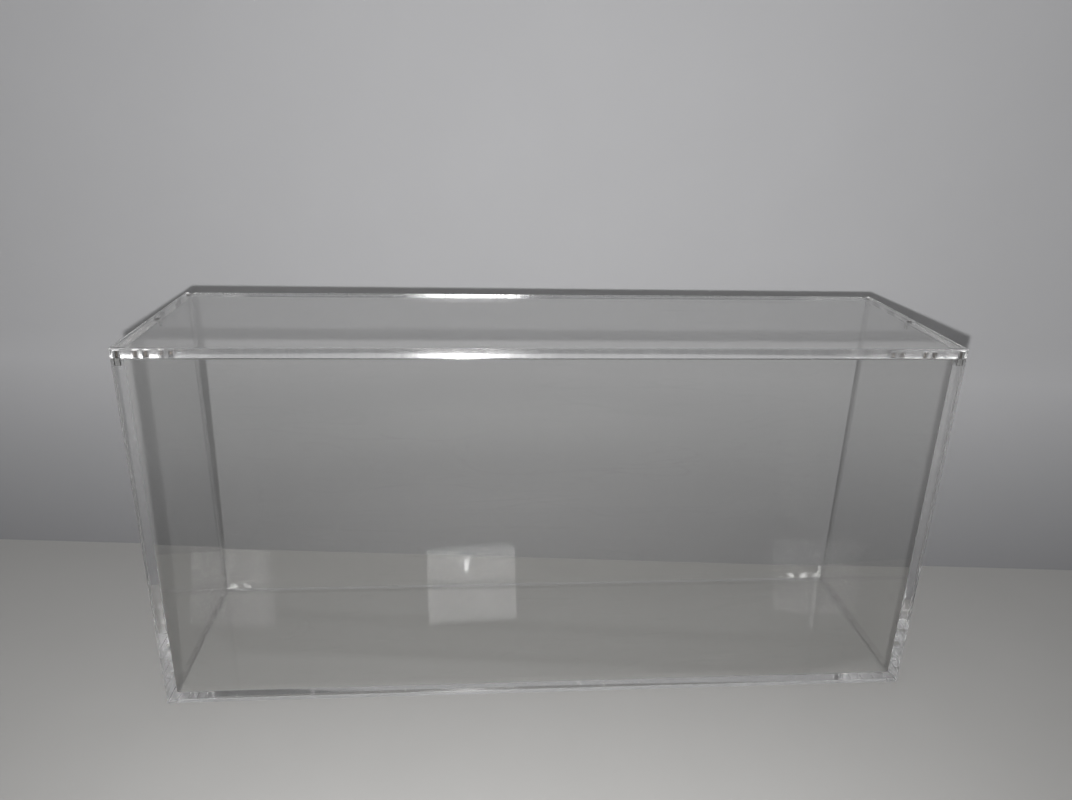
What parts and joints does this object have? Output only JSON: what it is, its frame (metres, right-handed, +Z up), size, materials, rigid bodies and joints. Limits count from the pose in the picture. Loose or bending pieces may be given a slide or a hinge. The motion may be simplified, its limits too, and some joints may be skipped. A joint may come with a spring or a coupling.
{
  "type": "clear acrylic display case",
  "caption": "Long low clear acrylic display case: walls and base cemented from flat sheet, with a full-size lift-off lid held by small magnets set into the sheet.",
  "frame": {"origin": "centre of the case's underside, on the surface that it stands on", "axes": "+X along the case's length, +Y from the front wall to the back wall, +Z up through the lid"},
  "size_m": [0.41, 0.109, 0.2013],
  "materials": {
    "clear_acrylic": "polished clear cast acrylic sheet",
    "magnet_nickel": "dull bright nickel plating"
  },
  "bodies": {
    "case": {"front_wall": "clear_acrylic", "back_wall": "clear_acrylic", "left_wall": "clear_acrylic", "right_wall": "clear_acrylic", "base_panel": "clear_acrylic", "case_magnet_front_left": "magnet_nickel", "case_magnet_front_right": "magnet_nickel", "case_magnet_middle_left": "magnet_nickel", "case_magnet_middle_right": "magnet_nickel", "case_magnet_back_left": "magnet_nickel", "case_magnet_back_right": "magnet_nickel"},
    "lid": {"lid_panel": "clear_acrylic", "lid_magnet_front_left": "magnet_nickel", "lid_magnet_front_right": "magnet_nickel", "lid_magnet_middle_left": "magnet_nickel", "lid_magnet_middle_right": "magnet_nickel", "lid_magnet_back_left": "magnet_nickel", "lid_magnet_back_right": "magnet_nickel"}
  },
  "joints": [
    {"name": "lid_lift", "type": "slide", "parent": "case", "child": "lid", "axis": [0, 0, 1], "range_m": [0, 0.15]}
  ]
}
